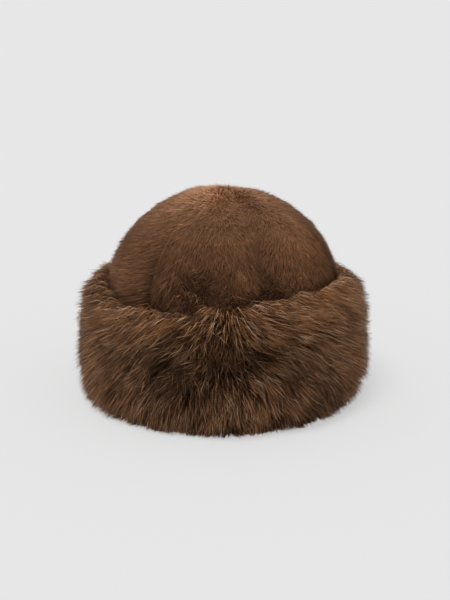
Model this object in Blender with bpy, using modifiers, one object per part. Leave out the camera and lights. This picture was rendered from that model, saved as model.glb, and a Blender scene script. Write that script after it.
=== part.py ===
"""A fur beanie: a six-panel crown of short pile inside a deep, turned-up cuff of long fur.

Metres, +Z up. The hat stands on its cuff as it does on a table, with its front to -Y. The
origin is on the surface that it stands on, under the middle of the box round the hat.
"""

import math
import random

import bmesh
import bpy
from mathutils import Vector

# Driving sizes
HEAD_ROUND = 0.580  # inside of the crown, measured round the head
PLAN_RATIO = 1.06  # front to back over side to side
CROWN_WALL = 0.006  # fabric with its short dense pile
CROWN_TOP = 0.183  # height of the crown's outside
HEM_LIFT = 0.003  # crown's lower edge above the surface, inside the cuff
PANEL_COUNT = 6
FIRST_SEAM = math.radians(-128.0)  # the seam that shows at the left of the front
SEAM_GAP = 0.0003  # between two sewn panels
SEAM_PINCH = 0.0022  # how far a seam draws the crown in
SEAM_PINCH_WIDTH = math.radians(9.0)
PINCH_START = 0.50  # share of the crown's height where the seams start to draw in
PINCH_FULL = 0.66

CUFF_HEIGHT = 0.1005  # mean height of the turned-up band
CUFF_BODY = 0.0150  # folded band with its dense underfur
CUFF_CLEARANCE = 0.0003  # between the crown and the band
LOCK_LENGTH = 0.031  # from root to tip
LOCK_ROOT = 0.006  # part of a lock that is inside the band
LOCK_WIDTH = 0.021
LOCK_THICK = 0.012
LOCK_SIDES = 4
LOCK_SEED = 7

# Resolution
COLUMNS = 48
CROWN_ROWS = 12

# Outside of the crown: share of CROWN_TOP, share of the half-width
CROWN_PROFILE = (
    (0.00, 1.000),
    (0.25, 1.000),
    (0.52, 1.000),
    (0.60, 1.006),
    (0.67, 0.974),
    (0.74, 0.910),
    (0.81, 0.808),
    (0.87, 0.680),
    (0.92, 0.530),
    (0.96, 0.355),
    (0.985, 0.190),
    (1.00, 0.000),
)

# Soft dents in the crown: angle in degrees, share of CROWN_TOP, depth as a share of
# CROWN_WALL, half-angle in degrees, half-height as a share of CROWN_TOP
CROWN_DENTS = (
    (-62.0, 0.93, 0.50, 20.0, 0.050),
    (-98.0, 0.63, 0.58, 16.0, 0.060),
    (-40.0, 0.66, 0.46, 14.0, 0.070),
    (-150.0, 0.72, 0.36, 18.0, 0.080),
    (35.0, 0.70, 0.42, 24.0, 0.090),
    (115.0, 0.68, 0.46, 26.0, 0.080),
)

# Section of the band, from its inner foot round the outside to its inner top:
# share of CUFF_BODY out from the crown, share of CUFF_HEIGHT up
CUFF_SECTION = (
    (0.00, 0.00),
    (0.66, 0.00),
    (0.92, 0.06),
    (1.08, 0.20),
    (1.03, 0.42),
    (1.00, 0.62),
    (0.95, 0.80),
    (0.74, 0.94),
    (0.42, 1.00),
    (0.10, 0.98),
    (0.00, 0.93),
)

# Height of the band round the hat: angle in degrees, share of CUFF_HEIGHT
CUFF_WAVE = (
    (-180.0, 0.985),
    (-140.0, 0.935),
    (-110.0, 0.970),
    (-90.0, 1.000),
    (-60.0, 1.045),
    (-30.0, 1.045),
    (0.0, 1.000),
    (45.0, 0.970),
    (110.0, 0.980),
    (150.0, 0.995),
    (180.0, 0.985),
)

# Rows of locks, from the floor up. Roots: share of CUFF_BODY out, share of the band's height.
# Then: angle above the horizon in degrees, share of LOCK_LENGTH, droop of the tip in degrees,
# locks in the row
LOCK_ROWS = (
    (1.00, 0.11, -34.0, 0.84, 30.0, 26),
    (1.06, 0.24, -34.0, 0.98, 34.0, 27),
    (1.05, 0.37, -32.0, 1.00, 36.0, 28),
    (1.02, 0.50, -28.0, 1.00, 38.0, 28),
    (1.00, 0.63, -22.0, 1.00, 44.0, 28),
    (0.97, 0.75, -14.0, 1.00, 52.0, 28),
    (0.90, 0.87, 8.0, 0.94, 66.0, 26),
    (0.66, 0.96, 44.0, 0.84, 90.0, 24),
)

# Sections of a lock: share of its length, share of its width and thickness
LOCK_SECTIONS = (
    (0.00, 0.84),
    (0.45, 0.92),
    (0.79, 0.50),
)


def ellipse_share(ratio):
    """Length round an ellipse of half-width 1 and half-depth ratio."""
    h = ((ratio - 1.0) / (ratio + 1.0)) ** 2
    return math.pi * (1.0 + ratio) * (1.0 + 3.0 * h / (10.0 + math.sqrt(4.0 - 3.0 * h)))


INNER_HALF_WIDTH = HEAD_ROUND / ellipse_share(PLAN_RATIO)
CROWN_HALF_WIDTH = INNER_HALF_WIDTH + CROWN_WALL


def plan(angle, radius, height):
    """A point at this angle round the hat, on the oval of this half-width."""
    return Vector((radius * math.cos(angle), radius * PLAN_RATIO * math.sin(angle), height))


def outward(angle):
    """The level unit vector that points away from the middle at this angle."""
    return Vector((math.cos(angle), PLAN_RATIO * math.sin(angle), 0.0)).normalized()


def smooth_step(value, low, high):
    share = min(1.0, max(0.0, (value - low) / (high - low)))
    return share * share * (3.0 - 2.0 * share)


def table_value(rows, at):
    """Column 1 at this value of column 0, along a smooth curve through the rows."""
    last = len(rows) - 1
    i = 0
    while i < last - 1 and rows[i + 1][0] < at:
        i += 1
    (x0, y0), (x1, y1) = rows[i], rows[i + 1]
    width = x1 - x0
    share = min(1.0, max(0.0, (at - x0) / width))

    def slope(k):
        before, after = rows[max(0, k - 1)], rows[min(last, k + 1)]
        return (after[1] - before[1]) / (after[0] - before[0])

    s2, s3 = share**2, share**3
    value = (2 * s3 - 3 * s2 + 1) * y0 + (3 * s2 - 2 * s3) * y1
    return value + width * ((s3 - 2 * s2 + share) * slope(i) + (s3 - s2) * slope(i + 1))


def angle_between(a, b):
    """Smallest difference of two angles, in radians, signed."""
    return (a - b + math.pi) % (2.0 * math.pi) - math.pi


def column_angle(column):
    """Columns stand half a step off the seams, so that no cut runs along one."""
    return FIRST_SEAM + 2.0 * math.pi * (column + 0.5) / COLUMNS


def seam_angles():
    return [FIRST_SEAM + 2.0 * math.pi * i / PANEL_COUNT for i in range(PANEL_COUNT)]


def crown_inset(angle, share):
    """How far seams and dents draw the crown in at this place."""
    pinch = 0.0
    for seam in seam_angles():
        off = angle_between(angle, seam) / SEAM_PINCH_WIDTH
        pinch = max(pinch, math.exp(-off * off))
    inset = SEAM_PINCH * pinch * smooth_step(share, PINCH_START, PINCH_FULL)
    for at, height, depth, half_angle, half_height in CROWN_DENTS:
        across = angle_between(angle, math.radians(at)) / math.radians(half_angle)
        up = (share - height) / half_height
        inset += CROWN_WALL * depth * math.exp(-across * across - up * up)
    return inset


def crown_outline():
    """Points of the crown's outside from hem to top, spaced evenly along it: height, radius."""
    fine = 400
    points = []
    for k in range(fine + 1):
        lean = k / fine
        share = 1.0 - (1.0 - lean) ** 2
        height = HEM_LIFT + (CROWN_TOP - HEM_LIFT) * share
        width = max(0.0, table_value(CROWN_PROFILE, height / CROWN_TOP))
        points.append((height, CROWN_HALF_WIDTH * width))
    points[-1] = (CROWN_TOP, 0.0)
    along = [0.0]
    for (z0, r0), (z1, r1) in zip(points, points[1:]):
        along.append(along[-1] + math.hypot(z1 - z0, r1 - r0))
    rows = []
    k = 0
    for row in range(CROWN_ROWS + 1):
        target = along[-1] * row / CROWN_ROWS
        while k < fine - 1 and along[k + 1] < target:
            k += 1
        part = (target - along[k]) / (along[k + 1] - along[k])
        rows.append(tuple(a + (b - a) * part for a, b in zip(points[k], points[k + 1])))
    return rows


def collection(name):
    made = bpy.data.collections.new(name)
    bpy.context.scene.collection.children.link(made)
    return made


def mesh_object(name, bm, home):
    mesh = bpy.data.meshes.new(name)
    bmesh.ops.recalc_face_normals(bm, faces=bm.faces)
    bm.to_mesh(mesh)
    bm.free()
    obj = bpy.data.objects.new(name, mesh)
    home.objects.link(obj)
    return obj


def helper(obj):
    """Marks a cutter or another guide, which isn't part of the hat."""
    obj.hide_render = True
    obj.display_type = "WIRE"
    return obj


def fur_material(name, colour, roughness):
    material = bpy.data.materials.new(name)
    material.use_nodes = True
    shader = material.node_tree.nodes["Principled BSDF"]
    shader.inputs["Base Color"].default_value = (*colour, 1.0)
    shader.inputs["Roughness"].default_value = roughness
    shader.inputs["Metallic"].default_value = 0.0
    return material


def crown_surface():
    """The crown's outside as one open sheet, from the hem up to the top."""
    bm = bmesh.new()
    rings = []
    rows = crown_outline()
    for height, radius in rows[:-1]:
        share = height / CROWN_TOP
        ring = []
        for c in range(COLUMNS):
            angle = column_angle(c)
            inset = min(crown_inset(angle, share), radius / 4.0)
            ring.append(bm.verts.new(plan(angle, radius - inset, height)))
        rings.append(ring)
    top = bm.verts.new(plan(0.0, 0.0, rows[-1][0]))
    for low, high in zip(rings, rings[1:]):
        for c in range(COLUMNS):
            after = (c + 1) % COLUMNS
            bm.faces.new((low[c], low[after], high[after], high[c]))
    for c in range(COLUMNS):
        bm.faces.new((rings[-1][c], rings[-1][(c + 1) % COLUMNS], top))
    return bm


def wedge(name, start, end, home):
    """A prism round one panel, with its sides half a seam gap inside the two seams."""
    reach = 3.0 * CROWN_HALF_WIDTH
    sides = [outward(a) for a in (start, end)]
    middle = (sides[0] + sides[1]).normalized()
    half = math.acos(max(-1.0, min(1.0, sides[0].dot(middle))))
    corner = middle * (SEAM_GAP / 2.0 / math.sin(half))
    bm = bmesh.new()
    foot = Vector((0.0, 0.0, -CROWN_TOP))
    outline = [corner, corner + sides[0] * reach, corner + sides[1] * reach]
    face = bm.faces.new([bm.verts.new(p + foot) for p in outline])
    made = bmesh.ops.extrude_face_region(bm, geom=[face])
    lifted = [g for g in made["geom"] if isinstance(g, bmesh.types.BMVert)]
    bmesh.ops.translate(bm, verts=lifted, vec=Vector((0.0, 0.0, 3.0 * CROWN_TOP)))
    return helper(mesh_object(name, bm, home))


def crown_panels(home, cutters, material):
    """Each panel is the crown's sheet, made solid and cut to its wedge."""
    seams = seam_angles()
    for i, start in enumerate(seams):
        end = start + 2.0 * math.pi / PANEL_COUNT
        panel = mesh_object(f"crown_panel_{i + 1}", crown_surface(), home)
        panel.data.materials.append(material)
        wall = panel.modifiers.new("wall", "SOLIDIFY")
        wall.thickness = CROWN_WALL
        wall.offset = -1.0
        wall.use_even_offset = True
        cut = panel.modifiers.new("seams", "BOOLEAN")
        cut.operation = "INTERSECT"
        cut.solver = "EXACT"
        cut.object = wedge(f"panel_wedge_{i + 1}", start, end, cutters)
        panel.data.shade_smooth()


def band_height(angle):
    return CUFF_HEIGHT * table_value(CUFF_WAVE, math.degrees(angle_between(angle, 0.0)))


def band_point(angle, out, up):
    """A point of the band's section: out and up are shares, as in CUFF_SECTION."""
    radius = CROWN_HALF_WIDTH + CUFF_CLEARANCE + CUFF_BODY * out
    return plan(angle, radius, band_height(angle) * up)


def band_body(name, home):
    """The folded band and its dense underfur, as one closed ring."""
    bm = bmesh.new()
    rings = []
    for c in range(COLUMNS):
        angle = column_angle(c)
        rings.append([bm.verts.new(band_point(angle, out, up)) for out, up in CUFF_SECTION])
    for c in range(COLUMNS):
        here, there = rings[c], rings[(c + 1) % COLUMNS]
        for k in range(len(here)):
            after = (k + 1) % len(here)
            bm.faces.new((here[k], there[k], there[after], here[after]))
    return mesh_object(name, bm, home)


def lock_ring(bm, centre, across, over, width, thick):
    """One section of a lock: a flattened polygon."""
    ring = []
    for s in range(LOCK_SIDES):
        turn = 2.0 * math.pi * s / LOCK_SIDES
        offset = across * (width / 2.0 * math.sin(turn)) + over * (thick / 2.0 * math.cos(turn))
        ring.append(bm.verts.new(centre + offset))
    return ring


def add_lock(bm, angle, root, rise, length, droop, sweep):
    """A tapered lock of fur that bends down from root to tip."""
    out = outward(angle)
    up = Vector((0.0, 0.0, 1.0))
    level = (out + up.cross(out) * sweep).normalized()

    def heading(along):
        tilt = rise - droop * along
        return level * math.cos(tilt) + up * math.sin(tilt)

    across = level.cross(up).normalized()
    centre = root - heading(0.0) * LOCK_ROOT
    at = 0.0
    rings = []
    for along, size in LOCK_SECTIONS:
        centre = centre + heading((at + along) / 2.0) * length * (along - at)
        at = along
        over = across.cross(heading(along))
        rings.append(lock_ring(bm, centre, across, over, size * LOCK_WIDTH, size * LOCK_THICK))
    tip = bm.verts.new(centre + heading((at + 1.0) / 2.0) * length * (1.0 - at))
    bm.faces.new(rings[0])
    for low, high in zip(rings, rings[1:]):
        for s in range(LOCK_SIDES):
            after = (s + 1) % LOCK_SIDES
            bm.faces.new((low[s], low[after], high[after], high[s]))
    for s in range(LOCK_SIDES):
        bm.faces.new((rings[-1][s], rings[-1][(s + 1) % LOCK_SIDES], tip))


def fur_locks(name, home):
    """All the locks of the cuff, row by row, each row turned half a lock from the last."""
    chance = random.Random(LOCK_SEED)
    bm = bmesh.new()
    for row, (out, up, rise, reach, droop, count) in enumerate(LOCK_ROWS):
        for k in range(count):
            place = (k + 0.5 * (row % 2) + chance.uniform(-0.22, 0.22)) / count
            angle = FIRST_SEAM + 2.0 * math.pi * place
            root = band_point(angle, out, up + chance.uniform(-0.025, 0.025))
            tilt = math.radians(rise + chance.uniform(-9.0, 9.0))
            length = LOCK_LENGTH * reach * chance.uniform(0.86, 1.12)
            sweep = chance.uniform(-0.40, 0.40)
            add_lock(bm, angle, root, tilt, length, math.radians(droop), sweep)
    return helper(mesh_object(name, bm, home))


def floor_block(name, home):
    """What presses the fur flat under the hat."""
    side = 4.0 * (CROWN_HALF_WIDTH + CUFF_BODY + LOCK_LENGTH)
    depth = CUFF_HEIGHT
    bm = bmesh.new()
    bmesh.ops.create_cube(bm, size=1.0)
    bmesh.ops.scale(bm, vec=Vector((side, side, depth)), verts=bm.verts)
    bmesh.ops.translate(bm, vec=Vector((0.0, 0.0, -depth / 2.0)), verts=bm.verts)
    return helper(mesh_object(name, bm, home))


def cuff(home, cutters, material):
    """The band with its locks fused to it, flat where it stands."""
    band = band_body("cuff_fur", home)
    band.data.materials.append(material)
    join = band.modifiers.new("locks", "BOOLEAN")
    join.operation = "UNION"
    join.solver = "EXACT"
    join.use_self = True
    join.object = fur_locks("cuff_locks", cutters)
    foot = band.modifiers.new("foot", "BOOLEAN")
    foot.operation = "DIFFERENCE"
    foot.solver = "EXACT"
    foot.object = floor_block("floor_block", cutters)


def centre_on_origin(home, cutters):
    """Brings the middle of the box round the fur that shows over the origin."""
    points = [v.co for v in bpy.data.objects["cuff_locks"].data.vertices if v.co.z > 0.0]
    middle = Vector((0.0, 0.0, 0.0))
    for axis in (0, 1):
        ends = [p[axis] for p in points]
        middle[axis] = (min(ends) + max(ends)) / 2.0
    for obj in list(home.objects) + list(cutters.objects):
        obj.location = -middle


def main():
    for obj in list(bpy.data.objects):
        bpy.data.objects.remove(obj, do_unlink=True)
    hat = collection("fur_beanie")
    cutters = collection("cutters")
    crown_panels(hat, cutters, fur_material("short_pile", (0.115, 0.056, 0.030), 0.85))
    cuff(hat, cutters, fur_material("long_fur", (0.085, 0.040, 0.020), 0.80))
    centre_on_origin(hat, cutters)


main()
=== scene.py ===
"""Looks of the fur beanie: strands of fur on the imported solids, then stage, light and camera.

Metres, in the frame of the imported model: the hat stands on z = 0 with its front to -Y.
Angles run round the hat in degrees: -90 is the front, 0 the viewer's right, 90 the back.
"""

import math

import bpy
import numpy as np
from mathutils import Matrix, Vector
from mathutils.kdtree import KDTree

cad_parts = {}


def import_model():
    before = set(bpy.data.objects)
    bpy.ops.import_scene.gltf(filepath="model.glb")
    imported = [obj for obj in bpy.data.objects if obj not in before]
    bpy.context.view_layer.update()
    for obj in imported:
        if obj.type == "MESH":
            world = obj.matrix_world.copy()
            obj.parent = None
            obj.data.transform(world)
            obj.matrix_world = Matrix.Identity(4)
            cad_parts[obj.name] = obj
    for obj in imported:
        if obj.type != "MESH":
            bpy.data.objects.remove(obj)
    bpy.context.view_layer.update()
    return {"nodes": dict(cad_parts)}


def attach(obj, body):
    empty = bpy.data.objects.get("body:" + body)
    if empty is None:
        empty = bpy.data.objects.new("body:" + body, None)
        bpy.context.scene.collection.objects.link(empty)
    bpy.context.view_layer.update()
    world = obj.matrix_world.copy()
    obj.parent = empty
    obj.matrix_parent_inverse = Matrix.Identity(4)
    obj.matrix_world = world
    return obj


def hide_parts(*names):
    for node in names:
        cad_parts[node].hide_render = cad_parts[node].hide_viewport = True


SEED = 11
UP = np.array([0.0, 0.0, 1.0])
LEVEL = np.array([1.0, 1.0, 0.0])  # keeps the level part of a vector

# The hat, as the solids have it
CUFF_HEIGHT = 0.1005
PLAN_RATIO = 1.06  # front to back over side to side
BAND_INNER = 0.0959  # half-width of the hole in the cuff
BAND_DEPTH = 0.0150  # folded band with its dense underfur
CROWN_TOP = 0.183
SEAM_ANGLES = (-128.0, -68.0, -8.0, 52.0, 112.0, 172.0)
CROWN_MIDDLE = np.array([0.0, 0.0, 0.05])  # point that the crown's outer face bulges away from
PILE_FROM = 0.062  # the crown carries pile above this height, and the cuff hides the rest

# Camera, fitted to the photograph's outline
CAMERA_DISTANCE = 1.200
CAMERA_ELEVATION = 16.5
CAMERA_AIM_HEIGHT = 0.0819
CAMERA_LENS = 80.0
SENSOR = 36.0

# Stage and light
FLOOR_SIZE = 24.0
FLOOR_GREY = 0.20
FLOOR_GLOW = 0.50
WORLD_LIGHT = 0.79
KEY_LIGHT = 2.4

# Strands of all kinds
STRAND_SIDES = 3
STRAND_CELL_ASPECT = 2.2  # height over width of a strand's cell in the UV map
WIDTH_SPREAD = (0.7, 1.3)  # least and most of a strand's width, as a share
CLUMP_PULL_FROM = 0.4  # least share of a clump's pull that a strand takes
CLUMP_SPREAD = 0.15  # share of their distance that strands keep at the tip of a clump

# Guard hairs of the cuff
GUARD_SECTORS = 4
GUARD_HAIRS = 14000  # in one sector, on average
GUARD_LENGTH = 0.028
GUARD_LENGTH_SPREAD = (0.70, 1.20)
GUARD_SHORTEST = 0.30  # share of its length that a hair keeps where the outline cuts it
GUARD_WIDTH = 0.00054
MIDDLE_WIDTH = 0.92  # of a hair, as a share of its width at the root
ROOT_SUNK = 0.0015
LIFT_OFF = 0.25  # how much the lower half of a hair follows the face that it stands on
LATE_LIFT_OFF = 0.3  # and its upper half, as a share of that
EARLY_AT = 0.25  # where along a hair the heading of its lower half is taken
LATE_AT = 0.80
GUARD_CLUMPS = ((0.30, 0.42), (0.05, 0.40))  # share of the hairs that lead a clump, its pull
MIDDLE_SHIFT = 0.35  # share of the clumps' and partings' push that a hair's middle takes
TUFT_HAIRS = 70  # hairs in one tuft, which lean the same way
TUFT_BLUR = 0.0018  # how far a tuft's edge strays

# Tints of the guard hairs
PALE_HAIRS = 0.24  # share of the hairs that are pale, whose tips also carry painted sheen
PALE_RUFFLED = 1.2  # more of them where the fur is ruffled
PALE_DIMMED = 0.85  # pale hairs take the painted light and shade of their place to this power
PALE_CLUMPED = 0.3  # share of the clumps' pull that pale hairs take
WISP_HAIRS = 7  # hairs of one wisp share their light
WISP_BLUR = TUFT_BLUR / 3.0
WISP_CONTRAST = 0.80
LIGHT_NOISE = 0.16
LIGHT_NOISE_SIZE = 0.012
SHADE_LOG_MEAN = -0.60
SHADE_LOG_SPREAD = 0.85
MOST_SHADE = 1.20  # the lightest that a brown hair gets
MOST_PALE_SHADE = 1.50  # and a pale one
GUARD_TINTS = (0.0, 0.42, 1.0)  # share of the tip's colour at root, middle and tip

# Underfur of the cuff
UNDERFUR_SECTORS = 2
UNDERFUR_HAIRS = 14500  # in one sector, on average
UNDERFUR_LENGTH = 0.016
UNDERFUR_LENGTH_SPREAD = (0.7, 1.2)
UNDERFUR_WIDTH = 0.0010
UNDERFUR_DROOP = 0.6  # weight of the tip's heading against the root's
UNDERFUR_CLUMPS = (0.12, 0.6)  # share of the hairs that lead a clump, its pull
UNDERFUR_SHADES = (0.5, 1.2)
UNDERFUR_TINTS = (0.1, 1.0)  # share of the tip's colour at root and tip
RIDGE_SHARES = (0.78, 0.94)  # shares of the band's height over which painted light makes the underfur lighter
RIDGE_PAINTED_LIGHT = 2.2

# Pile of the crown
PILE_HAIRS = 12000  # on one panel
PILE_LENGTH = 0.0082
PILE_LENGTH_SPREAD = (0.75, 1.2)
PILE_WIDTH = 0.00050
PILE_SUNK = 0.0006  # depth of the roots in the nap
NAP_DEPTH = 0.0013  # the dense nap between the strands stands this high on the panels
PILE_FACING = 0.45  # a face with pile looks out of the crown by at least this cosine
NAP_FACING = 0.2  # and a point with nap by at least this one
PILE_TUFT_HAIRS = 40
PILE_TUFT_BLUR = 0.001
PILE_CLUMPS = (0.30, 0.28)  # as UNDERFUR_CLUMPS
PILE_TINTS = (0.1, 1.0)  # as UNDERFUR_TINTS

FLOOR_GAP = 0.0004  # lowest that the fur comes to the floor

# Height of the band round the hat: angle, share of CUFF_HEIGHT
CUFF_WAVE = (
    (-180.0, 0.985),
    (-140.0, 0.935),
    (-110.0, 0.970),
    (-90.0, 1.000),
    (-60.0, 1.045),
    (-30.0, 1.045),
    (0.0, 1.000),
    (45.0, 0.970),
    (110.0, 0.980),
    (150.0, 0.995),
    (180.0, 0.985),
)

# Section of the band under the fur, from its inner foot round the outside to its inner top:
# share of BAND_DEPTH out, share of the band's height
BAND_SECTION = (
    (0.00, 0.00),
    (0.40, 0.00),
    (0.66, 0.01),
    (0.92, 0.06),
    (1.03, 0.13),
    (1.08, 0.20),
    (1.06, 0.31),
    (1.03, 0.42),
    (1.01, 0.52),
    (1.00, 0.62),
    (0.98, 0.71),
    (0.95, 0.80),
    (0.87, 0.88),
    (0.74, 0.94),
    (0.58, 0.98),
    (0.42, 1.00),
    (0.24, 1.00),
    (0.10, 0.98),
    (0.00, 0.93),
)
BAND_COLUMNS = 120

# Flow of the cuff's fur by height: share of the band's height, lift above the horizon and
# droop by the tip in degrees, sideways comb, length as a share, and how far the comb's middle
# lies to the left in degrees
CUFF_FLOW = (
    (0.00, -34.0, 32.0, 0.14, 0.90, -14.0),
    (0.15, -26.0, 36.0, 0.18, 1.05, -9.0),
    (0.40, -8.0, 34.0, 0.60, 1.05, 3.0),
    (0.65, 12.0, 32.0, 1.20, 1.10, 6.0),
    (0.82, 24.0, 38.0, 1.50, 1.05, 2.0),
    (0.94, 32.0, 56.0, 1.35, 1.00, 0.0),
    (1.00, 40.0, 84.0, 1.25, 0.85, 0.0),
)
FLOW_LIFT, FLOW_DROOP, FLOW_COMB, FLOW_LENGTH, FLOW_MIDDLE = range(1, 6)
COMB_WANDER = 7.0  # degrees that the comb's middle strays, over COMB_WANDER_SIZE
COMB_WANDER_SIZE = 0.016

# Comb of the cuff's fur round the hat: angle, share of the sideways comb with + anticlockwise,
# and how much further down it lies, in degrees
CUFF_COMB = (
    (-180.0, -0.55, 8.0),
    (-150.0, -0.80, 22.0),
    (-120.0, -0.85, 28.0),
    (-108.0, -0.60, 18.0),
    (-99.0, -0.20, 16.0),
    (-92.0, 0.20, 14.0),
    (-84.0, 0.60, 10.0),
    (-70.0, 1.00, 6.0),
    (-40.0, 0.90, 6.0),
    (0.0, 0.55, 8.0),
    (60.0, 0.30, 10.0),
    (120.0, 0.00, 10.0),
    (180.0, -0.55, 8.0),
)
COMB_SHARE, COMB_DOWN = range(1, 3)

# Disorder of the cuff's sideways comb, and of its lift in radians: smooth over a distance, by
# tufts and by hairs, with what ruffling adds to the last two
COMB_NOISE = 0.22
COMB_NOISE_SIZE = 0.008
COMB_OF_TUFTS = 0.26
RUFFLED_COMB_OF_TUFTS = 1.0
COMB_OF_HAIRS = 0.24
RUFFLED_COMB_OF_HAIRS = 0.5
LIFT_NOISE = 0.14
LIFT_NOISE_SIZE = 0.007
LIFT_OF_TUFTS = 0.16
RUFFLED_LIFT_OF_TUFTS = 0.5
LIFT_OF_HAIRS = 0.18
RUFFLED_LIFT_OF_HAIRS = 0.3

# Outline of the fur: share of the band's height, half-width of the oval
FUR_OUTLINE = (
    (-0.10, 0.1190),
    (0.00, 0.1240),
    (0.08, 0.1310),
    (0.18, 0.1350),
    (0.35, 0.1345),
    (0.60, 0.1315),
    (0.85, 0.1315),
    (0.98, 0.1300),
    (1.06, 0.1220),
    (1.15, 0.1080),
)

# The fur stands further out low on the left and less on the right: angle, added half-width at
# the foot of the band
FUR_SWELL = (
    (-180.0, 0.0020),
    (-145.0, 0.0040),
    (-110.0, 0.0000),
    (-60.0, -0.0035),
    (-20.0, -0.0020),
    (90.0, 0.0000),
    (180.0, 0.0020),
)
SWELL_GONE = 0.35  # share of the band's height
STRAY_HAIRS = 0.08  # share of the hairs that pass the outline
STRAY_REACH = 0.028  # share of the half-width, as are the next two
HAIR_UNEVEN = 0.008
LOCK_UNEVEN = 0.020
LOCK_HAIRS = 26  # hairs of one lock end at the same distance from the outline
MOST_LOCK_UNEVEN = 1.5  # times LOCK_UNEVEN

# Places where the cuff's fur parts, with painted shade in its depth: angle, share of the band's
# height, half-width, share of light that the painted shade leaves in the middle
CUFF_PARTINGS = (
    (-109.0, 0.66, 0.009, 0.30),
    (-83.0, 0.70, 0.010, 0.35),
    (-97.0, 0.78, 0.005, 0.45),
    (-72.0, 0.62, 0.007, 0.50),
    (-100.0, 0.48, 0.008, 0.50),
    (-124.0, 0.58, 0.006, 0.50),
    (-36.0, 0.84, 0.007, 0.40),
    (-50.0, 0.30, 0.009, 0.50),
)
PARTING_PUSH = 0.5  # how far a parting pushes the tips of hairs, as a share of its half-width
SMALL_PARTINGS = 90  # more of them at random round the hat
SMALL_PARTING_SHARES = (0.10, 0.78)  # of the band's height
SMALL_PARTING_WIDTH = 0.0055
SMALL_PARTING_WIDTH_SPREAD = (0.6, 1.4)
# share of light that the painted shade of a small parting leaves
SMALL_PARTING_PAINTED_LIGHT = 0.50
SMALL_PARTING_PAINTED_LIGHT_SPREAD = (0.7, 1.4)

# Areas of the cuff with painted light and shade, with lit sides and ridge and a shaded middle, and
# with
# ruffled fur: angle, share of the band's height, half-angle, half-height as a share, painted light,
# ruffling
CUFF_PATCHES = (
    (-155.0, 0.65, 22.0, 0.45, 1.20, 0.0),
    (-20.0, 0.60, 24.0, 0.45, 1.30, 0.0),
    (-46.0, 1.00, 26.0, 0.12, 3.00, 0.0),
    (-130.0, 1.00, 24.0, 0.12, 2.20, 0.0),
    (-95.0, 1.00, 26.0, 0.10, 1.10, 0.0),
    (-97.0, 0.67, 28.0, 0.22, 0.22, 0.5),
    (-115.0, 0.52, 19.0, 0.18, 0.62, 0.3),
    (-50.0, 0.20, 21.0, 0.20, 0.34, 0.1),
    (-62.0, 0.74, 9.0, 0.12, 1.35, 0.0),
    (-90.0, 0.25, 36.0, 0.25, 0.96, 0.3),
    (-60.0, 0.60, 20.0, 0.20, 1.10, 0.2),
)

# Areas of the crown with painted light and shade, such as a lit top and shaded folds at the foot,
# and with
# ruffled pile: angle, share of CROWN_TOP, half-angle, half-height as a share, painted light,
# ruffling
CROWN_PATCHES = (
    (-108.0, 0.985, 34.0, 0.030, 1.45, 0.0),
    (-47.0, 0.95, 10.0, 0.015, 0.80, 0.1),
    (-36.0, 0.80, 20.0, 0.090, 1.40, 0.0),
    (-154.0, 0.63, 18.0, 0.080, 1.50, 0.1),
    (-103.0, 0.67, 12.0, 0.070, 0.36, 1.2),
    (-88.0, 0.60, 24.0, 0.045, 0.86, 1.2),
    (-66.0, 0.64, 12.0, 0.060, 0.65, 0.7),
    (-78.0, 0.66, 5.0, 0.025, 1.30, 0.4),
    (-24.0, 0.56, 9.0, 0.040, 0.50, 0.2),
    (-42.0, 0.66, 13.0, 0.060, 1.35, 0.3),
    (-80.0, 0.72, 3.0, 0.015, 1.70, 0.0),
)
PATCH_PAINTED_LIGHT, PATCH_RUFFLING = range(4, 6)

# Pile of the crown by height: share of CROWN_TOP, length as a share, lean above the surface in
# degrees
CROWN_PILE = (
    (0.45, 1.50, 34.0),
    (0.60, 1.45, 34.0),
    (0.72, 1.35, 24.0),
    (0.84, 1.20, 20.0),
    (0.95, 1.10, 24.0),
    (0.99, 1.10, 36.0),
    (1.00, 1.15, 42.0),
)
PILE_REACH, PILE_LEAN = range(1, 3)

# Painted light and shade of the crown's pile by height, darker at the foot and lighter at the top:
# share of CROWN_TOP, painted light
CROWN_PAINTED_LIGHT = (
    (0.45, 0.36),
    (0.58, 0.48),
    (0.68, 0.68),
    (0.78, 0.76),
    (0.90, 0.98),
    (1.00, 1.34),
)
# the most painted light, which scales the ramp in the nodes
MOST_PAINTED_LIGHT = 1.50
CROWN_SWIRL = 3.0  # weight of the way that the pile lies over the very top
CROWN_SWIRL_WAY = np.array([-0.3, -1.0, 0.0])  # to the front and a little left
CROWN_SWIRL_RADIUS = 0.018

# Comb of each panel's pile at its foot and at its top: sideways share, + is anticlockwise,
# against 1 straight down
PANEL_COMB = {
    "crown_panel_1": (0.10, 0.05),
    "crown_panel_2": (-1.10, -0.60),
    "crown_panel_3": (0.20, 0.20),
    "crown_panel_4": (0.00, 0.00),
    "crown_panel_5": (-0.20, -0.20),
    "crown_panel_6": (-2.40, -0.40),
}
COMB_HEIGHTS = (0.60, 0.90)  # shares of CROWN_TOP

# Disorder of the pile's comb and of its lean in radians, as for the cuff
PILE_COMB_NOISE = 0.10
PILE_COMB_NOISE_SIZE = 0.008
PILE_COMB_OF_TUFTS = 0.08
RUFFLED_PILE_COMB_OF_TUFTS = 1.4
PILE_COMB_OF_HAIRS = 0.09
RUFFLED_PILE_COMB_OF_HAIRS = 1.0
PILE_LEAN_NOISE = 0.06
PILE_LEAN_NOISE_SIZE = 0.005
RUFFLED_PILE_LEAN_OF_TUFTS = 0.5
PILE_LEAN_OF_HAIRS = 0.10
RUFFLED_PILE_LEAN_OF_HAIRS = 0.4

# Painted shade along the seams, as of grooves low on the crown that close towards its top
SEAM_WIDTH = 0.0035
# share of light that the painted shade leaves in the middle of a seam
SEAM_PAINTED_LIGHT = 0.45
SEAM_OPEN_BELOW = 0.70  # share of CROWN_TOP
SEAM_CLOSED_ABOVE = 0.88

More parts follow.
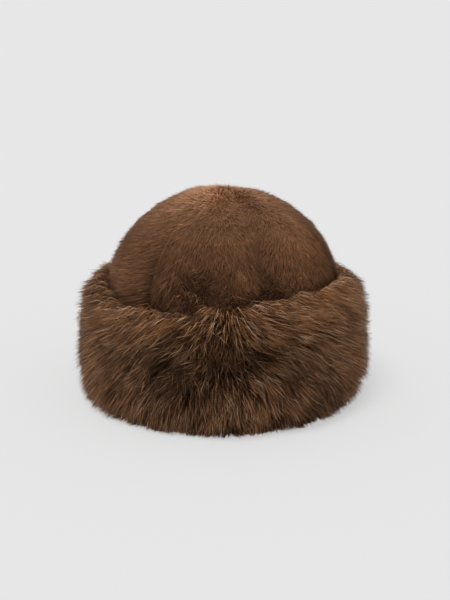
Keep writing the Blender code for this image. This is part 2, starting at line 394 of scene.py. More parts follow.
# Colours, linear
GUARD_ROOT = (0.026, 0.0095, 0.0028)
GUARD_TIP = (0.450, 0.204, 0.082)
# tip of the pale hairs: pale hair and painted sheen, in pinkish grey
PALE_AND_SHEEN_TIP = (0.620, 0.380, 0.235)
UNDERFUR_ROOT = (0.014, 0.0052, 0.0018)
UNDERFUR_TIP = (0.070, 0.028, 0.011)
PILE_ROOT = (0.150, 0.066, 0.030)
PILE_TIP = (0.420, 0.196, 0.092)
# greyer tip colour of the painted sheen on the top of the crown
TOP_SHEEN_PILE_TIP = (0.440, 0.245, 0.140)
TOP_FROM = 0.80  # share of CROWN_TOP where painted sheen begins to turn the pile's tips greyer
PALE_PILE = 0.10  # share of the pile that is pale
PALE_PILE_RUFFLED = 4.0  # more of it where the pile is ruffled
PALE_PILE_GAIN = 1.8
PILE_WISP_HAIRS = 18
PILE_WISP_BLUR = TUFT_BLUR / 2.0
PILE_WISP_CONTRAST = 0.40
PILE_WISP_SMOOTH = 0.3  # share of that contrast where the pile isn't ruffled
PILE_LIGHT_NOISE = 0.10
PILE_LIGHT_NOISE_SIZE = 0.006
PILE_SHADE_LOG_MEAN = -0.10
PILE_SHADE_LOG_SPREAD = 0.38
RUFFLED_PILE_SHADE_SPREAD = 0.22

# Backing between the strands: dark and light colour, linear, and size of its mottling
PILE_BACKING = ((0.060, 0.027, 0.012), (0.170, 0.078, 0.037), 0.0015)
FUR_BACKING = ((0.012, 0.005, 0.002), (0.040, 0.019, 0.009), 0.004)
SKIN_SIDE = ((0.300, 0.190, 0.115), (0.380, 0.250, 0.155), 0.006)
MOTTLING_DETAIL = 6.0
MOTTLING_FROM = 0.35
MOTTLING_TO = 0.70
BACKING_BUMP = 0.6
BACKING_BUMP_DEPTH = 0.0008


# Reading the solids


def triangles(obj):
    """Corners of the object's triangles, as an array of n x 3 x 3."""
    mesh = obj.data
    mesh.calc_loop_triangles()
    points = np.empty(len(mesh.vertices) * 3, np.float32)
    mesh.vertices.foreach_get("co", points)
    index = np.empty(len(mesh.loop_triangles) * 3, np.int32)
    mesh.loop_triangles.foreach_get("vertices", index)
    return points.reshape(-1, 3).astype(float)[index].reshape(-1, 3, 3)


def hat_axis(panels):
    """The point on the floor under the top of the crown."""
    top_depth = 0.001
    corners = np.concatenate([triangles(panel).reshape(-1, 3) for panel in panels])
    top = corners[corners[:, 2] > corners[:, 2].max() - top_depth]
    return np.array([top[:, 0].mean(), top[:, 1].mean(), 0.0])


def unit(vectors):
    """The vectors at length 1, and 0 for a vector of no length."""
    return vectors / np.maximum(np.linalg.norm(vectors, axis=-1, keepdims=True), 1e-12)


def angles_of(points):
    """Angle round the hat in degrees, of points that are given from the hat's axis."""
    return np.degrees(np.arctan2(points[:, 1] / PLAN_RATIO, points[:, 0]))


def radius_of(points):
    """Half-width of the oval that a point lies on."""
    return np.hypot(points[:, 0], points[:, 1] / PLAN_RATIO)


def column(table, number, at):
    """A column of a table at these values of its first column."""
    rows = np.array(table)
    return np.interp(at, rows[:, 0], rows[:, number])


def soft_noise(points, distance, seed):
    """Smooth noise of about -1 to 1, which changes over this distance."""
    count = 14
    chance = np.random.default_rng(seed)
    waves = chance.normal(size=(3, count)) / distance
    phases = chance.uniform(0.0, 2.0 * math.pi, count)
    return np.sin(points @ waves + phases).sum(axis=1) / math.sqrt(count)


def smooth_normals(corners, chosen):
    """Normal at each corner of the triangles, smooth over those that are chosen."""
    cross = np.cross(corners[:, 1] - corners[:, 0], corners[:, 2] - corners[:, 0])
    _, number = np.unique(np.round(corners.reshape(-1, 3), 5), axis=0, return_inverse=True)
    number = number.reshape(-1)
    total = np.zeros((number.max() + 1, 3))
    np.add.at(total, number, np.repeat(cross * chosen[:, None], 3, axis=0))
    return unit(total[number]).reshape(-1, 3, 3)


def scatter(corners, weights, count, chance):
    """Random points on triangles, by area times weight: places and normals."""
    cross = np.cross(corners[:, 1] - corners[:, 0], corners[:, 2] - corners[:, 0])
    share = np.linalg.norm(cross, axis=1) * weights
    chosen = chance.choice(len(corners), count, p=share / share.sum())
    a = chance.uniform(size=count)
    b = chance.uniform(size=count)
    turned = a + b > 1.0
    a[turned] = 1.0 - a[turned]
    b[turned] = 1.0 - b[turned]
    part = np.stack([1.0 - a - b, a, b], axis=1)[:, :, None]
    normals = smooth_normals(corners, weights > 0.0)
    return (corners[chosen] * part).sum(axis=1), unit((normals[chosen] * part).sum(axis=1))


# Strands


def nearest_of(leaders, points):
    """For each point, the number of the nearest leader."""
    tree = KDTree(len(leaders))
    for i, leader in enumerate(leaders):
        tree.insert(Vector(leader), i)
    tree.balance()
    return np.array([tree.find(Vector(point))[1] for point in points])


def gather(roots, tips, share, amount, chance):
    """Draws tips to the tip of the nearest of some of the strands, which makes wisps."""
    leaders = chance.choice(len(roots), int(len(roots) * share), replace=False)
    nearest = leaders[nearest_of(roots[leaders], roots)]
    pull = amount * chance.uniform(CLUMP_PULL_FROM, 1.0, len(roots))
    goal = tips[nearest] + (roots - roots[nearest]) * CLUMP_SPREAD
    return (goal - tips) * pull[:, None]


def in_tufts(roots, number, blur, chance):
    """Two random numbers for each strand, the same for all strands of one tuft."""
    leaders = roots[chance.choice(len(roots), number, replace=False)]
    nearest = nearest_of(leaders, roots + chance.normal(0.0, blur, roots.shape))
    own = chance.normal(size=(number, 2))[nearest]
    return own[:, 0], own[:, 1]


def across_of(directions, chance):
    """Two unit vectors at right angles to each direction, turned at random."""
    any_way = unit(chance.normal(size=directions.shape))
    first = unit(np.cross(directions, any_way))
    return first, np.cross(directions, first)


def ring(centre, first, second, width):
    """The corners of a strand round each centre."""
    corners = []
    for k in range(STRAND_SIDES):
        turn = 2.0 * math.pi * k / STRAND_SIDES
        away = first * math.cos(turn) + second * math.sin(turn)
        corners.append(centre + away * width[:, None] / 2.0)
    return corners


def cell_grid(count, cell_aspect):
    """Corner and size of one cell of the unit square for each strand."""
    rows = max(1, int(math.sqrt(count / cell_aspect)))
    columns = math.ceil(count / rows)
    number = np.arange(count)
    corner = np.stack([(number % columns) / columns, (number // columns) / rows], axis=1)
    return corner, np.array([1.0 / columns, 1.0 / rows])


def strand_faces(rings):
    """Triangles of one needle with this many rings of corners, and where each lies in its
    cell of the UV map: the root's face below, and the sides above it with margins between."""
    root_face = ((0.02, 0.01), (0.12, 0.01), (0.07, 0.05))
    sides_from, sides_height, margin = 0.08, 0.88, 0.03
    faces = [(0, 2, 1)]
    places = [root_face]
    for level in range(rings):
        low = sides_from + sides_height * (level / rings)
        high = sides_from + sides_height * ((level + 1) / rings)
        for k in range(STRAND_SIDES):
            after = (k + 1) % STRAND_SIDES
            here, there = STRAND_SIDES * level + k, STRAND_SIDES * level + after
            above, above_there = here + STRAND_SIDES, there + STRAND_SIDES
            left, right = k / STRAND_SIDES + margin, (k + 1) / STRAND_SIDES - margin
            if level == rings - 1:
                faces.append((here, there, STRAND_SIDES * rings))
                places.append(((left, low), (right, low), ((left + right) / 2.0, high)))
            else:
                faces.append((here, there, above_there))
                faces.append((here, above_there, above))
                places.append(((left, low), (right, low), (right, high)))
                places.append(((left, low), (right, high), (left, high)))
    return faces, places


def strand_mesh(name, levels, colours):
    """One mesh of closed three-sided needles.

    levels holds the rings of corners from root to tip, the last being the tip itself, and
    colours one colour a strand for each level."""
    count = len(levels[-1])
    rings = len(levels) - 1
    points = np.stack([corner for level in levels[:-1] for corner in level] + [levels[-1]], axis=1)
    each = points.shape[1]
    faces, places = strand_faces(rings)
    index = (np.array(faces).reshape(1, -1) + each * np.arange(count)[:, None]).ravel()
    corner, size = cell_grid(count, STRAND_CELL_ASPECT)
    uv = corner[:, None, :] + np.array(places).reshape(1, -1, 2) * size
    mesh = bpy.data.meshes.new(name)
    mesh.vertices.add(count * each)
    mesh.vertices.foreach_set("co", points.reshape(-1).astype(np.float32))
    mesh.loops.add(len(index))
    mesh.loops.foreach_set("vertex_index", index.astype(np.int32))
    mesh.polygons.add(len(index) // 3)
    mesh.polygons.foreach_set("loop_start", np.arange(0, len(index), 3, dtype=np.int32))
    mesh.update(calc_edges=True)
    mesh.shade_smooth()
    mesh.uv_layers.new(name="OFBake").uv.foreach_set("vector", uv.reshape(-1).astype(np.float32))
    tint = mesh.color_attributes.new("fur", "FLOAT_COLOR", "POINT")
    shades = np.ones((count, each, 4))
    for level, colour in enumerate(colours):
        first = STRAND_SIDES * level
        after = first + STRAND_SIDES if level < rings else each
        shades[:, first:after, :3] = colour[:, None, :]
    tint.data.foreach_set("color", shades.reshape(-1).astype(np.float32))
    return mesh


def add_piece(name, mesh, material):
    """An object of this mesh that rides on the hat."""
    obj = bpy.data.objects.new(name, mesh)
    bpy.context.scene.collection.objects.link(obj)
    mesh.materials.append(material)
    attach(obj, "root")
    return obj


# The cuff


def band_share(points):
    """Height as a share of the band's height there."""
    return points[:, 2] / (CUFF_HEIGHT * column(CUFF_WAVE, 1, angles_of(points)))


def cuff_flow(roots, normals, chance):
    """Direction of the hairs at the root and at the tip, and their length as a share."""
    height = band_share(roots)
    out = unit(roots * LEVEL)
    side = np.cross(UP, out)
    combed_at = angles_of(roots) + column(CUFF_FLOW, FLOW_MIDDLE, height)
    combed_at = combed_at + COMB_WANDER * soft_noise(roots, COMB_WANDER_SIZE, seed=4)
    comb = column(CUFF_FLOW, FLOW_COMB, height) * column(CUFF_COMB, COMB_SHARE, combed_at)
    turn, tip_up = in_tufts(roots, len(roots) // TUFT_HAIRS, TUFT_BLUR, chance)
    rough = ruffling(angles_of(roots), height, CUFF_PATCHES)
    of_tufts = (COMB_OF_TUFTS + RUFFLED_COMB_OF_TUFTS * rough) * turn
    comb += COMB_NOISE * soft_noise(roots, COMB_NOISE_SIZE, seed=5) + of_tufts
    of_hairs = COMB_OF_HAIRS + RUFFLED_COMB_OF_HAIRS * rough
    comb += chance.normal(0.0, 1.0, len(roots)) * of_hairs
    level = unit(out + side * comb[:, None])
    lift = column(CUFF_FLOW, FLOW_LIFT, height) - column(CUFF_COMB, COMB_DOWN, combed_at)
    lift = np.radians(lift)
    of_tufts = (LIFT_OF_TUFTS + RUFFLED_LIFT_OF_TUFTS * rough) * tip_up
    lift += LIFT_NOISE * soft_noise(roots, LIFT_NOISE_SIZE, seed=6) + of_tufts
    of_hairs = LIFT_OF_HAIRS + RUFFLED_LIFT_OF_HAIRS * rough
    lift += chance.normal(0.0, 1.0, len(roots)) * of_hairs
    droop = np.radians(column(CUFF_FLOW, FLOW_DROOP, height))

    def heading(along):
        tilt = lift - droop * along
        return level * np.cos(tilt)[:, None] + UP * np.sin(tilt)[:, None]

    early = unit(heading(EARLY_AT) + normals * LIFT_OFF)
    late = unit(heading(LATE_AT) + normals * LIFT_OFF * LATE_LIFT_OFF)
    return early, late, column(CUFF_FLOW, FLOW_LENGTH, height)


def band_core(axis, material):
    """The folded band that the fur stands on, as one closed ring."""
    angles = np.linspace(-180.0, 180.0, BAND_COLUMNS, endpoint=False)
    turns = np.radians(angles)[:, None]
    section = np.array(BAND_SECTION)
    radius = BAND_INNER + BAND_DEPTH * section[None, :, 0]
    height = CUFF_HEIGHT * column(CUFF_WAVE, 1, angles)[:, None] * section[None, :, 1]
    height = height + FLOOR_GAP
    points = np.stack([radius * np.cos(turns), radius * PLAN_RATIO * np.sin(turns), height], axis=2)
    each = len(section)
    faces = []
    for c in range(BAND_COLUMNS):
        here, there = c * each, (c + 1) % BAND_COLUMNS * each
        for k in range(each):
            after = (k + 1) % each
            faces.append((here + k, there + k, there + after, here + after))
    mesh = bpy.data.meshes.new("cuff_band")
    mesh.from_pydata((points.reshape(-1, 3) + axis).tolist(), [], faces)
    mesh.shade_smooth()
    return add_piece("cuff_band", mesh, material)


def furred_part(band, axis):
    """Triangles of the band that carry fur, from the hat's axis, and how much each carries."""
    inner_margin, bare_foot = 0.0005, 0.001
    corners = triangles(band) - axis
    centre = corners.mean(axis=1)
    outside = radius_of(centre) > BAND_INNER + inner_margin
    off_floor = centre[:, 2] > bare_foot
    return corners, (outside & off_floor).astype(float)


def keep_off_floor(points):
    """Lifts points that are below the floor, and returns the same array."""
    points[:, 2] = np.maximum(points[:, 2], FLOOR_GAP)
    return points


def nearness(angles, heights, row):
    """1 in the middle of an area of the hat and 0 away from it."""
    angle, height, half_angle, half_height = row[:4]
    across = ((angles - angle + 180.0) % 360.0 - 180.0) / half_angle
    along = (heights - height) / half_height
    return np.exp(-across * across - along * along)


def painted_patch_light(angles, heights, patches):
    """Painted light and shade of each strand, from a table of areas."""
    light = np.ones(len(angles))
    for row in patches:
        light *= 1.0 + (row[PATCH_PAINTED_LIGHT] - 1.0) * nearness(angles, heights, row)
    return light


def ruffling(angles, heights, patches):
    """How much the strands are ruffled, from a table of areas with painted light and shade."""
    return sum(row[PATCH_RUFFLING] * nearness(angles, heights, row) for row in patches)


def mixed(low, high, share):
    """Colours between low and high, or past high where the share is over 1."""
    return np.array(low) + (np.array(high) - np.array(low)) * share[:, None]


def kept_inside(roots, tips, chance):
    """The share of each hair that stays inside the outline of the fur."""
    height = band_share(tips)
    stray = chance.uniform(size=len(roots)) < STRAY_HAIRS
    lock = in_tufts(roots, max(1, len(roots) // LOCK_HAIRS), WISP_BLUR, chance)[0]
    lock = np.clip(lock, -MOST_LOCK_UNEVEN, MOST_LOCK_UNEVEN)
    uneven = chance.normal(1.0, HAIR_UNEVEN, len(roots)) + LOCK_UNEVEN * lock
    outline = column(FUR_OUTLINE, 1, height) * (uneven + STRAY_REACH * stray)
    swell = np.clip(1.0 - height / SWELL_GONE, 0.0, 1.0)
    outline += column(FUR_SWELL, 1, angles_of(tips)) * swell
    from_root, to_tip = radius_of(roots), radius_of(tips)
    room = (outline - from_root) / np.maximum(to_tip - from_root, 1e-5)
    share = np.where(to_tip > outline, room, 1.0)
    return np.clip(share, GUARD_SHORTEST, 1.0)


def all_partings():
    """The partings of the table and the small ones between them."""
    chance = np.random.default_rng(SEED + 2)
    small = [
        (
            chance.uniform(-180.0, 180.0),
            chance.uniform(*SMALL_PARTING_SHARES),
            SMALL_PARTING_WIDTH * chance.uniform(*SMALL_PARTING_WIDTH_SPREAD),
            SMALL_PARTING_PAINTED_LIGHT * chance.uniform(*SMALL_PARTING_PAINTED_LIGHT_SPREAD),
        )
        for _ in range(SMALL_PARTINGS)
    ]
    return list(CUFF_PARTINGS) + small


def parted(roots):
    """Painted shade of the fur in its partings, as the share of light left, and which way they push
    it.
    """
    left = np.ones(len(roots))
    push = np.zeros_like(roots)
    for angle, share, half_width, light in all_partings():
        turn = math.radians(angle)
        radius = radius_of(roots)
        middle = np.stack([
            radius * math.cos(turn),
            radius * PLAN_RATIO * math.sin(turn),
            share * CUFF_HEIGHT * np.ones(len(roots)),
        ], axis=1)
        away = roots - middle
        near = np.exp(-((np.linalg.norm(away, axis=1) / half_width) ** 2))
        left *= 1.0 - (1.0 - light) * near
        push += unit(away) * (near * (1.0 - light) * half_width * PARTING_PUSH)[:, None]
    return left, push


def guard_colours(roots, light, pale, chance):
    """Colours of the guard hairs at root, middle and tip."""
    count = len(roots)
    wisp = in_tufts(roots, count // WISP_HAIRS, WISP_BLUR, chance)[0]
    # pale hairs take less of the painted light and shade
    light = np.where(pale, light**PALE_DIMMED, light)
    noise = 1.0 + LIGHT_NOISE * soft_noise(roots, LIGHT_NOISE_SIZE, seed=8)
    shade = light * np.exp(WISP_CONTRAST * wisp) * noise
    shade = shade * chance.lognormal(SHADE_LOG_MEAN, SHADE_LOG_SPREAD, count)
    shade = np.minimum(shade, np.where(pale, MOST_PALE_SHADE, MOST_SHADE))
    # pale hairs get the pale tip, which also stands in for painted sheen
    tip = np.where(pale[:, None], PALE_AND_SHEEN_TIP, GUARD_TIP)
    return [mixed(GUARD_ROOT, tip, tint * shade) for tint in GUARD_TINTS]


def guard_hairs(name, roots, normals, axis, chance, material):
    """Long hairs of one sector of the cuff, bent in the middle and drawn into clumps."""
    early, late, length = cuff_flow(roots, normals, chance)
    count = len(roots)
    reach = GUARD_LENGTH * length * chance.uniform(*GUARD_LENGTH_SPREAD, count)
    tips = roots + (early + late) * (reach * 0.5)[:, None]
    reach *= kept_inside(roots, tips, chance)
    middle = roots + early * (reach * 0.5)[:, None]
    tips = middle + late * (reach * 0.5)[:, None]
    # painted shade in the partings, times the painted light and shade of the cuff's areas
    light, push = parted(roots)
    light = light * painted_patch_light(angles_of(roots), band_share(roots), CUFF_PATCHES)
    rough = ruffling(angles_of(roots), band_share(roots), CUFF_PATCHES)
    # pale hairs, whose tips also carry painted sheen
    pale = chance.uniform(size=count) < PALE_HAIRS * (1.0 + PALE_RUFFLED * rough)
    shift = sum(gather(roots, tips, leading, pull, chance) for leading, pull in GUARD_CLUMPS)
    shift = shift * np.where(pale, PALE_CLUMPED, 1.0)[:, None] + push
    middle = middle + shift * MIDDLE_SHIFT
    tips = tips + shift
    width = GUARD_WIDTH * chance.uniform(*WIDTH_SPREAD, count)
    first, second = across_of(unit(tips - roots), chance)
    start = roots - early * ROOT_SUNK
    levels = [
        ring(start + axis, first, second, width),
        ring(middle + axis, first, second, width * MIDDLE_WIDTH),
    ]
    for level in levels:
        for corner in level:
            keep_off_floor(corner)
    levels.append(keep_off_floor(tips + axis))
    colours = guard_colours(roots, light, pale, chance)
    return add_piece(name, strand_mesh(name, levels, colours), material)


def underfur(name, roots, normals, axis, chance, material):
    """Short dense hairs under the guard hairs of one half of the cuff."""
    early, late, length = cuff_flow(roots, normals, chance)
    count = len(roots)
    reach = UNDERFUR_LENGTH * length * chance.uniform(*UNDERFUR_LENGTH_SPREAD, count)
    heading = unit(early + late * UNDERFUR_DROOP)
    tips = roots + heading * reach[:, None]
    reach *= kept_inside(roots, tips, chance)
    tips = roots + heading * reach[:, None]
    tips = tips + gather(roots, tips, *UNDERFUR_CLUMPS, chance)
    width = UNDERFUR_WIDTH * chance.uniform(*WIDTH_SPREAD, count)
    first, second = across_of(unit(tips - roots), chance)
    start = roots - early * ROOT_SUNK
    level = [keep_off_floor(corner) for corner in ring(start + axis, first, second, width)]
    # painted shade in the partings
    shade = parted(roots)[0] * chance.uniform(*UNDERFUR_SHADES, count)
    # painted light towards the ridge
    shade = shade * np.interp(band_share(roots), RIDGE_SHARES, (1.0, RIDGE_PAINTED_LIGHT))
    colours = [mixed(UNDERFUR_ROOT, UNDERFUR_TIP, tint * shade) for tint in UNDERFUR_TINTS]
    mesh = strand_mesh(name, [level, keep_off_floor(tips + axis)], colours)
    return add_piece(name, mesh, material)


def in_sectors(points, sectors):
    """The number of the sector that each point is in, the first round the front."""
    turn = 360.0 / sectors
    return (np.floor((angles_of(points) + 90.0 + turn / 2.0) / turn) % sectors).astype(int)


def cuff_fur(band, axis, guard_look, under_look):
    """All the fur of the cuff, in sectors so that no mesh gets too large."""
    corners, weights = furred_part(band, axis)
    chance = np.random.default_rng(SEED)
    roots, normals = scatter(corners, weights, GUARD_SECTORS * GUARD_HAIRS, chance)
    sector = in_sectors(roots, GUARD_SECTORS)
    for s, side in enumerate(("front", "right", "back", "left")):
        here = sector == s
        name = f"cuff_guard_hair_{side}"
        guard_hairs(name, roots[here], normals[here], axis, chance, guard_look)
    roots, normals = scatter(corners, weights, UNDERFUR_SECTORS * UNDERFUR_HAIRS, chance)
    sector = in_sectors(roots, UNDERFUR_SECTORS)
    for s, side in enumerate(("front", "back")):
        here = sector == s
        name = f"cuff_underfur_{side}"
        underfur(name, roots[here], normals[here], axis, chance, under_look)


# The crown


def painted_seam_shade(points):
    """Painted shade along the seams, as the share of light left in their grooves."""
    turn = angles_of(points)[:, None] - np.array(SEAM_ANGLES)
    away = np.abs(np.radians((turn + 180.0) % 360.0 - 180.0)).min(axis=1) * radius_of(points)
    share = points[:, 2] / CROWN_TOP
    open_share = np.interp(share, (SEAM_OPEN_BELOW, SEAM_CLOSED_ABOVE), (1.0, 0.0))
    return 1.0 - (1.0 - SEAM_PAINTED_LIGHT) * open_share * np.exp(-((away / SEAM_WIDTH) ** 2))


def pile_roots(panel, axis, chance):
    """Places and normals of the pile's roots on the outer faces of a panel."""
    corners = triangles(panel) - axis
    cross = unit(np.cross(corners[:, 1] - corners[:, 0], corners[:, 2] - corners[:, 0]))
    centre = corners.mean(axis=1)
    facing = (cross * unit(centre - CROWN_MIDDLE)).sum(axis=1)
    weights = (facing > PILE_FACING) & (centre[:, 2] > PILE_FROM)
    return scatter(corners, weights.astype(float), PILE_HAIRS, chance)


def pile_heading(roots, normals, feet_and_top, ruffle, chance):
    """Direction of each strand of pile, from the panel's comb at its foot and at its top."""
    count = len(roots)
    out = unit(roots * LEVEL)
    side = np.cross(UP, out)
    down = unit(-UP - normals * (-UP * normals).sum(axis=1, keepdims=True) + out * 1e-6)
    share = roots[:, 2] / CROWN_TOP
    turn, tip_up = in_tufts(roots, count // PILE_TUFT_HAIRS, PILE_TUFT_BLUR, chance)
    comb = np.interp(share, COMB_HEIGHTS, feet_and_top)
    comb = comb + PILE_COMB_NOISE * soft_noise(roots, PILE_COMB_NOISE_SIZE, seed=21)
    comb = comb + turn * (PILE_COMB_OF_TUFTS + RUFFLED_PILE_COMB_OF_TUFTS * ruffle)
    of_hairs = PILE_COMB_OF_HAIRS + RUFFLED_PILE_COMB_OF_HAIRS * ruffle
    comb = comb + chance.normal(0.0, 1.0, count) * of_hairs
    swirl = CROWN_SWIRL * np.exp(-((radius_of(roots) / CROWN_SWIRL_RADIUS) ** 2))
    along = unit(down + side * comb[:, None] + CROWN_SWIRL_WAY * swirl[:, None])
    lean = np.radians(column(CROWN_PILE, PILE_LEAN, share))
    lean = lean + PILE_LEAN_NOISE * soft_noise(roots, PILE_LEAN_NOISE_SIZE, seed=22)
    lean = lean + RUFFLED_PILE_LEAN_OF_TUFTS * ruffle * tip_up
    of_hairs = PILE_LEAN_OF_HAIRS + RUFFLED_PILE_LEAN_OF_HAIRS * ruffle
    lean = lean + chance.normal(0.0, 1.0, count) * of_hairs
    return along * np.cos(lean)[:, None] + normals * np.sin(lean)[:, None]


def pile_colours(roots, ruffle, chance):
    """Colours of the pile at root and tip."""
    count = len(roots)
    share = roots[:, 2] / CROWN_TOP
    # painted light and shade: the crown's areas, painted shade along the seams and painted light by
    # height
    light = painted_patch_light(angles_of(roots), share, CROWN_PATCHES) * painted_seam_shade(roots)
    light = light * column(CROWN_PAINTED_LIGHT, 1, share)
    pale = chance.uniform(size=count) < PALE_PILE * (1.0 + PALE_PILE_RUFFLED * ruffle)
    wisp = in_tufts(roots, count // PILE_WISP_HAIRS, PILE_WISP_BLUR, chance)[0]
    spread = PILE_SHADE_LOG_SPREAD + RUFFLED_PILE_SHADE_SPREAD * ruffle
    noise = 1.0 + PILE_LIGHT_NOISE * soft_noise(roots, PILE_LIGHT_NOISE_SIZE, seed=23)
    shade = chance.lognormal(PILE_SHADE_LOG_MEAN, spread) * noise
    shade = shade * np.exp(PILE_WISP_CONTRAST * (PILE_WISP_SMOOTH + ruffle) * wisp)
    shade = shade * np.where(pale, PALE_PILE_GAIN, 1.0)
    # painted sheen: the tips turn greyer towards the top
    near_top = np.clip((share - TOP_FROM) / (1.0 - TOP_FROM), 0.0, 1.0)
    tip = mixed(PILE_TIP, TOP_SHEEN_PILE_TIP, near_top)
    return [mixed(PILE_ROOT, tip, tint * shade) * light[:, None] for tint in PILE_TINTS]


def crown_pile(panel, axis, chance, material):
    """Short pile on one panel of the crown."""
    roots, normals = pile_roots(panel, axis, chance)
    count = len(roots)
    share = roots[:, 2] / CROWN_TOP
    ruffle = ruffling(angles_of(roots), share, CROWN_PATCHES)
    heading = pile_heading(roots, normals, PANEL_COMB[panel.name], ruffle, chance)
    reach = PILE_LENGTH * column(CROWN_PILE, PILE_REACH, share)
    reach = reach * chance.uniform(*PILE_LENGTH_SPREAD, count)
    tips = roots + heading * reach[:, None]
    tips = tips + gather(roots, tips, *PILE_CLUMPS, chance)
    width = PILE_WIDTH * chance.uniform(*WIDTH_SPREAD, count)
    first, second = across_of(heading, chance)
    raised = normals * (NAP_DEPTH - PILE_SUNK)
    tips = tips + raised
    level = ring(roots + raised + axis, first, second, width)
    colours = pile_colours(roots, ruffle, chance)
    name = panel.name.replace("panel", "pile")
    mesh = strand_mesh(name, [level, tips + axis], colours)
    return add_piece(name, mesh, material)


# Materials


def new_material(name):
    """A material, its nodes and its shader."""
    material = bpy.data.materials.new(name)
    material.use_nodes = True
    tree = material.node_tree
    return material, tree, tree.nodes["Principled BSDF"]


def strand_look(name, roughness, specular):
    """The colour that each strand carries."""
    material, tree, shader = new_material(name)
    colour = tree.nodes.new("ShaderNodeAttribute")
    colour.attribute_name = "fur"
    tree.links.new(colour.outputs["Color"], shader.inputs["Base Color"])
    shader.inputs["Roughness"].default_value = roughness
    shader.inputs["Specular IOR Level"].default_value = specular
    return material


def skin_inside(panel, axis, skin):
    """Gives the faces of a panel that look into the hat the plain skin side."""
    panel.data.materials.append(skin)
    middle = Vector(axis) + Vector(CROWN_MIDDLE)
    for face in panel.data.polygons:
        if face.normal.dot(face.center - middle) < 0.0:
            face.material_index = 1


def raise_nap(panel, axis):
    """Lifts the outer face of a panel by the depth of its dense nap, with a modifier."""
    mesh = panel.data
    points = np.empty(len(mesh.vertices) * 3, np.float32)
    mesh.vertices.foreach_get("co", points)
    normals = np.empty(len(mesh.vertices) * 3, np.float32)
    mesh.vertices.foreach_get("normal", normals)
    points = points.reshape(-1, 3) - axis
    facing = (normals.reshape(-1, 3) * unit(points - CROWN_MIDDLE)).sum(axis=1)
    group = panel.vertex_groups.new(name="outside")
    chosen = np.flatnonzero((facing > NAP_FACING) & (points[:, 2] > PILE_FROM))
    group.add([int(i) for i in chosen], 1.0, "REPLACE")
    nap = panel.modifiers.new("nap", "DISPLACE")
    nap.vertex_group = "outside"
    nap.strength = NAP_DEPTH
    nap.mid_level = 0.0


def math_node(tree, operation, *values):
    """The output of a Math node over these numbers and sockets."""
    node = tree.nodes.new("ShaderNodeMath")
    node.operation = operation
    for socket, value in zip(node.inputs, values):
        if isinstance(value, float):
            socket.default_value = value
        else:
            tree.links.new(value, socket)
    return node.outputs["Value"]


def crown_painted_light_nodes(tree, place, axis):
    """The painted light and shade of the crown's pile, by height and in its areas, as nodes."""
    split = tree.nodes.new("ShaderNodeSeparateXYZ")
    tree.links.new(place, split.inputs["Vector"])
    x = math_node(tree, "SUBTRACT", split.outputs["X"], float(axis[0]))
    y = math_node(tree, "DIVIDE", split.outputs["Y"], PLAN_RATIO)
    angle = math_node(tree, "DEGREES", math_node(tree, "ARCTAN2", y, x))
    height = math_node(tree, "DIVIDE", split.outputs["Z"], CROWN_TOP)
    ramp = tree.nodes.new("ShaderNodeValToRGB")
    stops = ramp.color_ramp.elements  # a new ramp has two
    for k, (share, light) in enumerate(CROWN_PAINTED_LIGHT):
        stop = stops[k] if k < 2 else stops.new(share)
        stop.position = share
        stop.color = (light / MOST_PAINTED_LIGHT,) * 3 + (1.0,)
    tree.links.new(height, ramp.inputs["Fac"])
    total = math_node(tree, "MULTIPLY", ramp.outputs["Color"], MOST_PAINTED_LIGHT)
    for middle, share, half_angle, half_height, light, _ in CROWN_PATCHES:
        across = math_node(tree, "DIVIDE", math_node(tree, "SUBTRACT", angle, middle), half_angle)
        along = math_node(tree, "DIVIDE", math_node(tree, "SUBTRACT", height, share), half_height)
        along_square = math_node(tree, "MULTIPLY", along, along)
        square = math_node(tree, "MULTIPLY_ADD", across, across, along_square)
        near = math_node(tree, "EXPONENT", math_node(tree, "MULTIPLY", square, -1.0))
        gain = math_node(tree, "MULTIPLY_ADD", near, light - 1.0, 1.0)
        total = math_node(tree, "MULTIPLY", total, gain)
    return total


def backing_look(name, dark, light, distance, axis=None):
    """Backing between the strands: mottled, with a fine nap in its bump, and with the crown's
    painted light and shade where the axis is given."""
    material, tree, shader = new_material(name)
    place = tree.nodes.new("ShaderNodeTexCoord")
    cloud = tree.nodes.new("ShaderNodeTexNoise")
    cloud.inputs["Scale"].default_value = 1.0 / distance
    cloud.inputs["Detail"].default_value = MOTTLING_DETAIL
    ramp = tree.nodes.new("ShaderNodeValToRGB")
    ramp.color_ramp.elements[0].position = MOTTLING_FROM
    ramp.color_ramp.elements[0].color = (*dark, 1.0)
    ramp.color_ramp.elements[1].position = MOTTLING_TO
    ramp.color_ramp.elements[1].color = (*light, 1.0)
    bump = tree.nodes.new("ShaderNodeBump")
    bump.inputs["Strength"].default_value = BACKING_BUMP
    bump.inputs["Distance"].default_value = BACKING_BUMP_DEPTH
    tree.links.new(place.outputs["Object"], cloud.inputs["Vector"])
    tree.links.new(cloud.outputs["Fac"], ramp.inputs["Fac"])
    tree.links.new(cloud.outputs["Fac"], bump.inputs["Height"])
    colour = ramp.outputs["Color"]
    if axis is not None:
        lit = tree.nodes.new("ShaderNodeVectorMath")
        lit.operation = "SCALE"
        tree.links.new(colour, lit.inputs["Vector"])
        tree.links.new(crown_painted_light_nodes(tree, place.outputs["Object"], axis), lit.inputs["Scale"])
        colour = lit.outputs["Vector"]
    tree.links.new(colour, shader.inputs["Base Color"])
    tree.links.new(bump.outputs["Normal"], shader.inputs["Normal"])
    shader.inputs["Roughness"].default_value = 0.85
    shader.inputs["Specular IOR Level"].default_value = 0.05
    return material


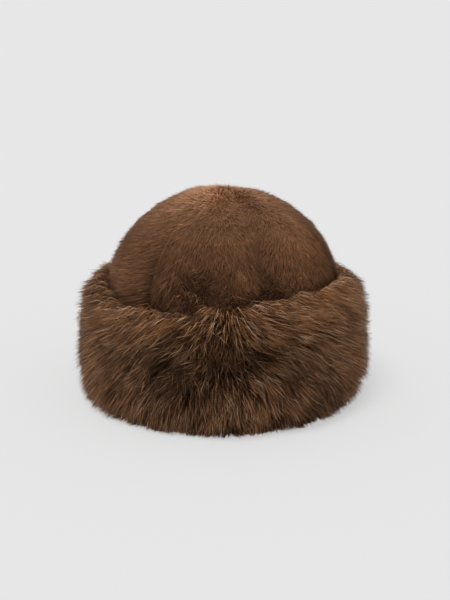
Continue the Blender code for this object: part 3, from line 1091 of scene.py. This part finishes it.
def floor_look():
    """A pale floor with a glow of its own, so that it meets the background."""
    material, _, shader = new_material("pale_floor")
    shader.inputs["Base Color"].default_value = (FLOOR_GREY, FLOOR_GREY, FLOOR_GREY, 1.0)
    shader.inputs["Roughness"].default_value = 0.9
    shader.inputs["Specular IOR Level"].default_value = 0.0
    shader.inputs["Emission Color"].default_value = (1.0, 1.0, 1.0, 1.0)
    shader.inputs["Emission Strength"].default_value = FLOOR_GLOW
    return material


# Stage


def stage():
    """The floor, the light from all round and the standard view transform."""
    bpy.ops.mesh.primitive_plane_add(size=FLOOR_SIZE, location=(0.0, 0.0, 0.0))
    floor = bpy.context.object
    floor.name = "floor"
    floor.data.materials.append(floor_look())
    world = bpy.data.worlds.new("studio")
    bpy.context.scene.world = world
    world.use_nodes = True
    background = world.node_tree.nodes["Background"]
    background.inputs["Color"].default_value = (1.0, 1.0, 1.0, 1.0)
    background.inputs["Strength"].default_value = WORLD_LIGHT
    bpy.context.scene.view_settings.view_transform = "Standard"


def soft_light(name, azimuth, elevation, softness, strength):
    """A far, wide light, in degrees. Azimuth 0 is the camera's side and 90 the right."""
    light = bpy.data.lights.new(name, "SUN")
    light.angle = math.radians(softness)
    light.energy = strength
    obj = bpy.data.objects.new(name, light)
    bpy.context.scene.collection.objects.link(obj)
    turn, rise = math.radians(azimuth), math.radians(elevation)
    level = math.cos(rise)
    back = Vector((math.sin(turn) * level, -math.cos(turn) * level, math.sin(rise)))
    obj.rotation_euler = (-back).to_track_quat("-Z", "Y").to_euler()


def camera():
    """The camera at the photograph's angle and distance."""
    data = bpy.data.cameras.new("camera")
    data.lens = CAMERA_LENS
    data.sensor_width = SENSOR
    obj = bpy.data.objects.new("camera", data)
    bpy.context.scene.collection.objects.link(obj)
    rise = math.radians(CAMERA_ELEVATION)
    back = Vector((0.0, -math.cos(rise), math.sin(rise)))
    obj.location = Vector((0.0, 0.0, CAMERA_AIM_HEIGHT)) + back * CAMERA_DISTANCE
    obj.rotation_euler = (-back).to_track_quat("-Z", "Y").to_euler()
    bpy.context.scene.camera = obj


def main():
    """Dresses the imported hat."""
    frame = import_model()
    camera()
    stage()
    soft_light("key", azimuth=-25.0, elevation=66.0, softness=30.0, strength=KEY_LIGHT)

    nodes = frame["nodes"]
    panels = [nodes[n] for n in sorted(nodes) if n.startswith("crown_panel")]
    axis = hat_axis(panels)
    # the pile's backing gets the crown's painted light and shade
    pile_backing = backing_look("short_pile", *PILE_BACKING, axis)
    fur_backing = backing_look("long_fur", *FUR_BACKING)
    skin = backing_look("skin_side", *SKIN_SIDE)
    for panel in panels:
        panel.data.materials.clear()
        panel.data.materials.append(pile_backing)
        skin_inside(panel, axis, skin)
        raise_nap(panel, axis)
    band = band_core(axis, fur_backing)
    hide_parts("cuff_fur")
    chance = np.random.default_rng(SEED + 1)
    pile = strand_look("short_pile_strands", roughness=0.55, specular=0.15)
    for panel in panels:
        crown_pile(panel, axis, chance, pile)
    guard = strand_look("long_fur_strands", roughness=0.50, specular=0.12)
    under = strand_look("underfur_strands", roughness=0.60, specular=0.04)
    cuff_fur(band, axis, guard, under)


main()
